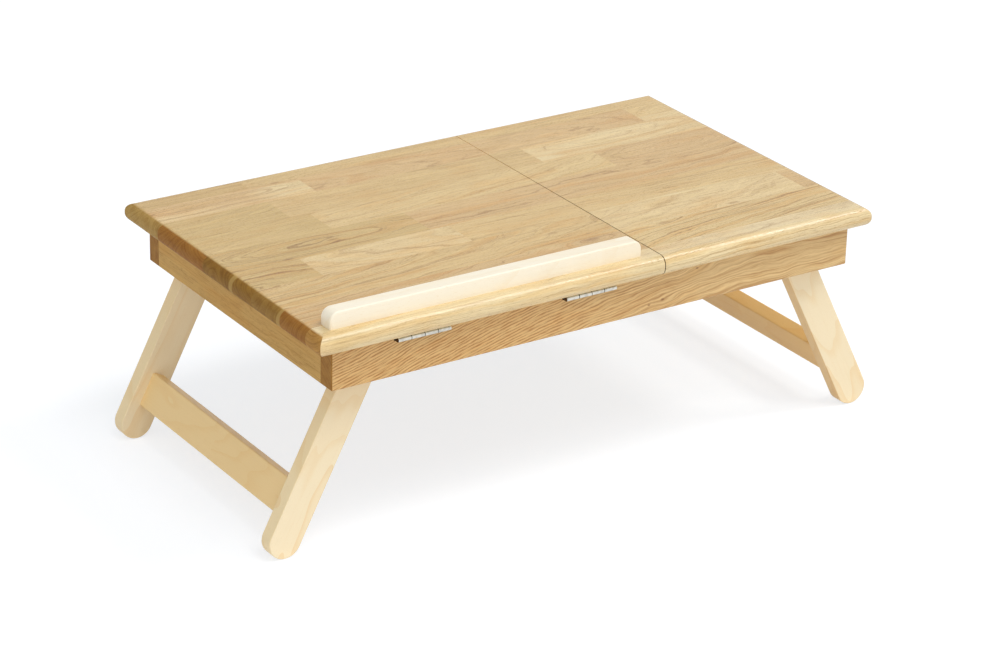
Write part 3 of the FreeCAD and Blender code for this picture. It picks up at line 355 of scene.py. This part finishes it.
# Soft areas inside the staves: left end and its softness, right end and its softness, front line,
# back line, tone and strength.
AREAS = [
    (-176, 26, -131, 0.3, 116, 150, "pale", 0.95),
    (LEFT_END, 1, -215, 60, 117, 128, "cream", 0.75),
    (-268, 10, -238, 22, 132, 149, "brown", 0.55),
    (98, 0.3, 120, 16, 74, 92, "pale", 1.0),
    (128, 30, 230, 60, 96, 111, "pale", 0.65),
    (-118, 10, -88, 0.3, 2, 9, "pale", 0.45),
    (LEFT_END, 1, -210, 40, 31, 42, "gold", 0.7),
    (154, 0.4, 176, 14, 48, 66, "brown", 0.45),
    (61, 1, RIGHT_END, 1, -60.5, -56, "pale", 0.8),
    (248, 3, RIGHT_END, 1, 116, 128, "pale", 0.7),
]
# Place and size of the knots in the top, and of those in the front apron.
KNOTS = [(194, -104, 3.2), (-178, 6, 2.6), (27, -112, 4.5), (109, -112, 4.0), (-155, 154, 2.5),
         (-236, -14, 2.5)]
APRON_KNOTS = [(68, 173, 1.8), (53, 170.5, 1.4), (106, 196, 1.3)]
# The long apron boards' streaks rise by slope * (u - u^3 / bend), where u is the distance from the
# left end, so they lie flat about 548 mm from there. The last number is their spacing.
STREAK_SLOPE = 0.30
STREAK_BEND = 900000.0
STREAK_SPACING = 2.9


def knot_gap(g, x, y, knot_x, knot_y, squeeze):
    """Distance from a knot that is drawn out along x."""
    return g.hypot(g.scaled(x, squeeze, -knot_x * squeeze), g.scaled(y, 1.0, -knot_y))


def choose(g, test, first, second):
    """Values of the first stave where the test is 1, else those of the second."""
    return {name: g.mix(test, second[name], first[name]) if name.endswith("tone")
            else g.pick(test, first[name], second[name]) for name in first}


def stave_layout(g, x, y):
    """For each point its stave's tone, the tone of its sawn end, its figure and its number."""
    chosen = None
    back = BACK_EDGE
    for row, (front, end_tone, staves) in enumerate(ROWS):
        here = None
        for index in reversed(range(len(staves))):
            right, tone, beside, depth, slope, strength = staves[index]
            stave = {"tone": TONES[tone], "heart": (front + back) / 2 + beside,
                     "depth": float(depth), "slope": slope, "strength": strength,
                     "number": index * STAVE_STEP + row * ROW_STEP}
            if here is None:
                here = stave
            else:
                here = choose(g, g.math("LESS_THAN", x, float(right)), stave, here)
        here["end_tone"] = TONES[end_tone]
        if chosen is None:
            chosen = here
        else:
            chosen = choose(g, g.math("LESS_THAN", y, back), here, chosen)
        back = front
    return chosen


def soft_areas(g, x, y, z, tone):
    """The staves' tones with the paler and darker areas on them."""
    for left, soft_left, right, soft_right, front, back, name, amount in AREAS:
        area = g.math("MULTIPLY", g.band(x, left, right, soft_left, soft_right),
                      g.band(y, front, back, 1.5, 1.5))
        ragged = g.noise((x, 30.0), (y, 3.0), (z, 30.0), detail=2)
        area = g.math("MULTIPLY", area, g.step(ragged, 0.30, 0.55, 0.35, 1.0))
        tone = g.mix(g.scaled(area, amount), tone, TONES[name])
    return tone


def pale_slivers(g, y, z):
    """1 on two thin pale strips in the sawn left end, which slant as they go down."""
    slant = g.scaled(z, -0.25, TOP_HEIGHT * 0.25)
    middle = g.band(g.total(y, g.scaled(slant, -0.5)), -26.5, -20.5, 0.5, 0.5)
    front = g.math("MULTIPLY", g.step(y, -111.0, -110.0),
                   g.step(g.math("SUBTRACT", y, slant), -106.5, -107.5))
    return g.total(middle, front)


def seam_painted_shade(g, y):
    """Painted shade on the sawn faces at the seam: dark brown to the front, so that the seam reads
    as a dark line, and pale to the back, which lifts the shade in the narrow gap.
    """
    front = g.mix(g.step(y, -178.0, -110.0), srgb("46300f"), srgb("86622f"))
    return g.mix(g.step(y, -70.0, 140.0), front, srgb("f3d096"))


def oak_top():
    """Both panels of the top: glued oak staves, their figure and their sawn ends."""
    g = Graph("oak_staves")
    x, y, z = g.place()
    stave = stave_layout(g, x, y)
    tone = soft_areas(g, x, y, z, stave["tone"])
    seed = g.chance(stave["number"], 0.3, 0.6)
    run = g.total(x, g.scaled(seed[0], 900.0))
    across = g.math("SUBTRACT", y, stave["heart"])
    away = g.total(stave["depth"], g.math("MULTIPLY", stave["slope"], x),
                   g.scaled(z, -1.0, TOP_HEIGHT))
    for knot_x, knot_y, size in KNOTS:
        gap = knot_gap(g, x, y, knot_x, knot_y, 0.32)
        away = g.total(away, g.step(gap, 0.0, size * 3.0, size * 3.0, 0.0))
    marks = oak_grain(g, tone, run, across, away, stave["strength"], seed, z)
    colour = marks["colour"]
    for knot_x, knot_y, size in KNOTS:
        gap = knot_gap(g, x, y, knot_x, knot_y, 0.3)
        colour = g.tint(colour, KNOT, gap, size, size * 0.1, 0.7)
    sawn = end_grain(g, stave["end_tone"], g.hypot(across, away), y, z, seed)
    sawn = g.mix(g.scaled(pale_slivers(g, y, z), 0.75), sawn, TONES["end_light"])
    # The sawn faces at the seam get painted shade, dark to the front and pale to the back.
    sawn = g.mix(g.band(x, 55.0, 70.0, 1.0, 1.0), sawn, seam_painted_shade(g, y))
    ends = g.along(0, 0.20, 0.50)
    return oak_finish(g, marks, g.mix(ends, colour, sawn), ends)


def oak_long():
    """Long apron boards: slanting dark streaks at the left that flatten into waves at the right."""
    g = Graph("oak_apron_long")
    x, y, z = g.place()
    seed = g.chance(g.math("SIGN", y), 0.3, 0.7)
    u = g.scaled(x, 1.0, -LEFT_END)
    rise = g.math("SUBTRACT", g.scaled(u, STREAK_SLOPE),
                  g.scaled(g.math("POWER", u, 3.0), STREAK_SLOPE / STREAK_BEND))
    drift = g.noise((x, 60.0), (z, 26.0), (seed[0], 0.1))
    right = g.step(x, -110.0, 150.0)
    left = g.scaled(right, -1.0, 1.0)
    level = g.total(z, g.scaled(rise, -1.0),
                    g.math("MULTIPLY", drift, g.scaled(right, 14.0, 4.0)), g.scaled(y, 0.7))
    wobble = g.noise((x, 13.0), (z, 4.0), (seed[1], 0.1), detail=2)
    level = g.total(level, g.scaled(wobble, 1.2))
    bands = g.math("SINE", g.total(g.scaled(level, 2 * math.pi / STREAK_SPACING),
                                   g.scaled(drift, 9.0)))
    lines = g.noise((level, 1.9), (x, 110.0), (seed[2], 0.1), detail=2, rough=0.6)
    dashes = g.noise((level, 0.85), (x, 14.0), (y, 9.0), detail=3, rough=0.6)
    rays = g.noise((level, 0.6), (x, 3.4), (y, 3.4), detail=1)
    cloud = g.noise((x, 60.0), (level, 9.0), (seed[0], 0.3), detail=2)
    base = g.mix(left, srgb("d9b77f"), srgb("d5ac6f"))
    colour = g.tint(base, WARM_CLOUD, cloud, 0.50, 0.70, 0.60)
    wide = g.scaled(right, 0.75, 0.25)
    colour = g.tint(colour, STREAK, lines, 0.50, 0.64, 0.75, wide)
    colour = g.tint(colour, PALE_LINE, lines, 0.46, 0.34, 0.80, wide)
    rows = g.total(g.scaled(bands, 0.11), g.scaled(dashes, 0.75, 0.125))
    colour = g.tint(colour, STREAK, rows, 0.50, 0.63, 1.0, g.scaled(left, 0.7, 0.3))
    colour = g.tint(colour, PALE_LINE, rows, 0.50, 0.36, 1.0, g.scaled(left, 0.6, 0.4))
    colour = g.tint(colour, PALE_LINE, rays, 0.56, 0.70, 1.0, g.scaled(left, 0.6, 0.2))
    for knot_x, knot_z, size in APRON_KNOTS:
        gap = knot_gap(g, x, z, knot_x, knot_z, 0.6)
        colour = g.tint(colour, DARK_KNOT, gap, size, size * 0.2, 0.85)
    radius = g.hypot(g.scaled(y, 1.0, 120.0), g.scaled(z, 1.0, -130.0))
    sawn = end_grain(g, TONES["end_mid"], radius, y, z, seed)
    ends = g.along(0, 0.30, 0.70)
    marks = {"gloss": g.scaled(dashes, 0.2, 0.36), "relief": g.scaled(dashes, -0.8)}
    return oak_finish(g, marks, g.mix(ends, colour, sawn), ends)


def oak_short():
    """End apron boards and drawer front: quiet straight grain, matte on the outer faces."""
    g = Graph("oak_apron_end")
    x, y, z = g.place()
    seed = g.chance(g.math("SIGN", x), 0.9, 0.2)
    run = g.total(y, g.scaled(seed[0], 500.0))
    away = g.total(g.scaled(x, 0.4, 60.0), g.scaled(y, 0.02))
    marks = oak_grain(g, srgb("caa361"), run, g.scaled(z, 1.0, -150.0), away, 0.45, seed, x)
    return oak_finish(g, marks, marks["colour"], g.along(0, 0.4, 0.6))


# ---------------------------------------------------------------- birch and other materials

GROWTH = (0.97, 0.90, 0.80, 1.0)
LATE_WOOD = (0.95, 0.86, 0.72, 1.0)
BIRCH_STREAK = (0.95, 0.90, 0.80, 1.0)
BIRCH_FLECK = (0.84, 0.72, 0.56, 1.0)
# Painted light on the legs: a slight warm tint, as of bounce light, on the faces that look outward,
# and warm painted shade on the faces that look in under the table.
OUTWARD_PAINTED_BOUNCE = (0.99, 0.95, 0.84, 1.0)
INWARD_PAINTED_SHADE = (0.85, 0.71, 0.51, 1.0)


def birch(name, base, axis, figure=1.0):
    """Pale close wood: faint curved growth lines and short flecks, with the grain along axis."""
    g = Graph(name)
    x, y, z = g.place()
    seed = g.chance(g.math("SIGN", x), g.math("SIGN", y), 0.4)
    if axis == "leg":
        up, over = math.cos(LEG_LEAN), math.sin(LEG_LEAN)
        out = g.math("ABSOLUTE", x)
        run = g.total(g.scaled(z, up), g.scaled(out, -over))
        side = g.total(g.scaled(out, up), g.scaled(z, over))
        depth = y
    else:
        run, side, depth = {"X": (x, y, z), "Y": (y, z, x)}[axis]
    layer = g.total(g.scaled(depth, 0.01), g.scaled(seed[0], 9.0))
    field = g.noise((run, 150.0), (side, 44.0), (layer, 1.0))
    rings = g.total(g.scaled(field, 6.0), g.scaled(run, 0.010), g.scaled(side, 0.015), seed[1])
    part = g.math("FRACT", rings)
    ring_tone = g.chance(g.math("FLOOR", rings), seed[0], 0.5)[0]
    late = g.math("MULTIPLY", g.step(part, 0.55, 0.98), g.step(part, 1.0, 0.99))
    streaks = g.noise((run, 70.0), (side, 1.8), (depth, 1.8), detail=3, rough=0.6)
    flecks = g.noise((run, 3.2), (side, 0.5), (depth, 0.5), detail=1)
    colour = g.shade(base, GROWTH, g.scaled(ring_tone, 0.60 * figure))
    colour = g.shade(colour, LATE_WOOD, g.scaled(late, 0.55 * figure))
    colour = g.tint(colour, BIRCH_STREAK, streaks, 0.50, 0.72, 0.25)
    colour = g.tint(colour, BIRCH_FLECK, flecks, 0.62, 0.76, 0.30)
    # Painted light and shade by the way a leg face looks: a warm bounce tint outward, warm shade
    # inward.
    if axis == "leg":
        outward = g.math("MULTIPLY", g.facing()[0], g.math("SIGN", x))
        colour = g.tint(colour, OUTWARD_PAINTED_BOUNCE, outward, 0.40, 0.80, 1.0)
        colour = g.tint(colour, INWARD_PAINTED_SHADE, outward, -0.40, -0.80, 1.0)
    relief = g.total(g.scaled(streaks, 0.5), g.scaled(flecks, -0.6))
    rough = g.scaled(streaks, 0.15, 0.36)
    return g.finish(colour, rough, g.bump(relief, 0.05, 0.4), specular=0.34)


def plywood():
    """Drawer bottom: peeled birch faces, and edges with a layer pair for each millimetre."""
    g = Graph("birch_plywood")
    x, y, z = g.place()
    rings = g.noise((x, 120.0), (y, 5.0), (z, 40.0), detail=3)
    face = g.mix(g.step(rings, 0.40, 0.62), srgb("ecd6ac"), srgb("d9ba86"))
    layers = g.step(g.math("SINE", g.scaled(z, 2 * math.pi)), -0.2, 0.2)
    edge = g.mix(layers, srgb("b98f5c"), srgb("e3c795"))
    colour = g.mix(g.along(2, 0.4, 0.7), edge, face)
    return g.finish(colour, 0.55, g.bump(rings, 0.05, 0.3), specular=0.35)


def plated(name, base, dark, roughness):
    """Zinc or brass with a faint drawn texture and duller patches. Faces that look along x, such as
    the ends of the hinge knuckles, are painted dark brown as shade, for the dark gaps between
    knuckles and the recess at the barrel's end.
    """
    g = Graph(name)
    x, y, z = g.place()
    drawn = g.noise((x, 12.0), (y, 0.5), (z, 0.5), detail=3)
    cloud = g.noise((x, 5.0), (y, 5.0), (z, 5.0), detail=3)
    colour = g.mix(g.step(cloud, 0.4, 0.7, 0.0, 0.7), base, dark)
    # Painted shade: faces that look along x turn dark brown, for the shade in the gaps between the
    # hinge knuckles.
    colour = g.mix(g.along(0, 0.80, 0.95), colour, srgb("5a4634"))
    rough = g.total(g.scaled(drawn, 0.15, roughness), g.scaled(cloud, 0.12))
    return g.finish(colour, rough, g.bump(drawn, 0.03, 0.5), metal=1.0)


# ---------------------------------------------------------------- floor and world

def floor_material():
    """White floor that keeps the table's soft shadow and is white beyond it."""
    g = Graph("studio_floor")
    seen = seen_rays(g)
    diffuse = g.add("ShaderNodeBsdfDiffuse")
    bounce, shade = [(share, share, share, 1.0) for share in (FLOOR_BOUNCE, FLOOR_SHADE)]
    g.feed(diffuse.inputs["Color"], g.mix(seen, bounce, shade))
    glow = g.add("ShaderNodeEmission")
    g.feed(glow.inputs["Color"], FLOOR_GLOW)
    g.feed(glow.inputs["Strength"], seen)
    both = g.add("ShaderNodeAddShader")
    g.tree.links.new(diffuse.outputs[0], both.inputs[0])
    g.tree.links.new(glow.outputs[0], both.inputs[1])
    output = g.add("ShaderNodeOutputMaterial")
    g.tree.links.new(both.outputs[0], output.inputs["Surface"])
    return g.material


def set_floor():
    bpy.ops.mesh.primitive_plane_add(size=FLOOR_SIZE, location=(0, 0, -FLOOR_GAP))
    floor = bpy.context.object
    floor.name = "floor"
    floor.data.materials.append(floor_material())


def set_world():
    """Even sky light with a broad glow from the front. What shows of it is plain white."""
    world = bpy.data.worlds.new("studio")
    world.use_nodes = True
    bpy.context.scene.world = world
    g = Graph("studio", world.node_tree)
    direction = g.split(g.add("ShaderNodeTexCoord").outputs["Generated"])
    front = Vector(FRONT_DIRECTION).normalized()
    toward = g.total(*[g.scaled(part, share) for part, share in zip(direction, front)])
    toward = g.math("MAXIMUM", toward, 0.0)
    light = g.scaled(g.math("MULTIPLY", toward, toward), FRONT_LIGHT, SKY_LIGHT)
    background = g.add("ShaderNodeBackground")
    g.feed(background.inputs["Color"], WHITE)
    g.feed(background.inputs["Strength"], g.pick(seen_rays(g), 1.0, light))
    output = g.add("ShaderNodeOutputWorld")
    g.tree.links.new(background.outputs[0], output.inputs["Surface"])


# ---------------------------------------------------------------- which part is made of what

def dress(material, *names):
    """Give the named nodes one material."""
    for name in names:
        part = nodes[name]
        part.data.materials.clear()
        part.data.materials.append(material)


def dress_all():
    """Give each node the material it is made of."""
    legs = birch("birch_legs", srgb("f6e5c2"), "leg")
    plain = birch("birch_plain", srgb("efd9b2"), "Y", 0.5)
    ledge = birch("birch_ledge", srgb("fff6e1"), "X", 0.45)
    # The right stretcher's birch is painted darker and warmer than the left's, as shade, because
    # the face that shows looks in under the table.
    stretchers = {"left_stretcher": birch("birch_left_stretcher", srgb("f8dba2"), "Y", 0.7),
                  "right_stretcher": birch("birch_right_stretcher_painted_shade", srgb("ebc481"), "Y", 0.7)}
    zinc = plated("zinc_plate", srgb("dedcd3"), srgb("b4b3aa"), 0.22)
    bright = plated("zinc_screws", srgb("bdbebb"), srgb("8f908d"), 0.30)
    brass = plated("turned_brass", srgb("cfa65a"), srgb("a97d38"), 0.28)
    dress(oak_top(), "tilt_top", "fixed_top")
    dress(oak_long(), "apron_front", "apron_back")
    dress(oak_short(), "apron_left", "apron_right", "drawer_front")
    dress(ledge, "book_ledge", "drawer_side_near", "drawer_side_far", "runner_near", "runner_far")
    dress(plain, "centre_rail", "seam_batten", "drawer_back", "drawer_stop",
          "prop_left", "prop_right", "rack_left", "rack_right")
    dress(plywood(), "drawer_bottom")
    for name in nodes:
        if "_leg_" in name:
            dress(legs, name)
        elif name in stretchers:
            dress(stretchers[name], name)
        elif "dowels" in name:
            dress(plain, name)
        elif name.endswith("screws") or name.endswith("bolts"):
            dress(bright, name)
        elif name.startswith("hinge_") or name.endswith("washers"):
            dress(zinc, name)
        elif name.endswith("inserts"):
            dress(brass, name)


set_camera()
set_lamps()
set_world()
set_floor()
dress_all()

bpy.context.scene.view_settings.view_transform = "Standard"
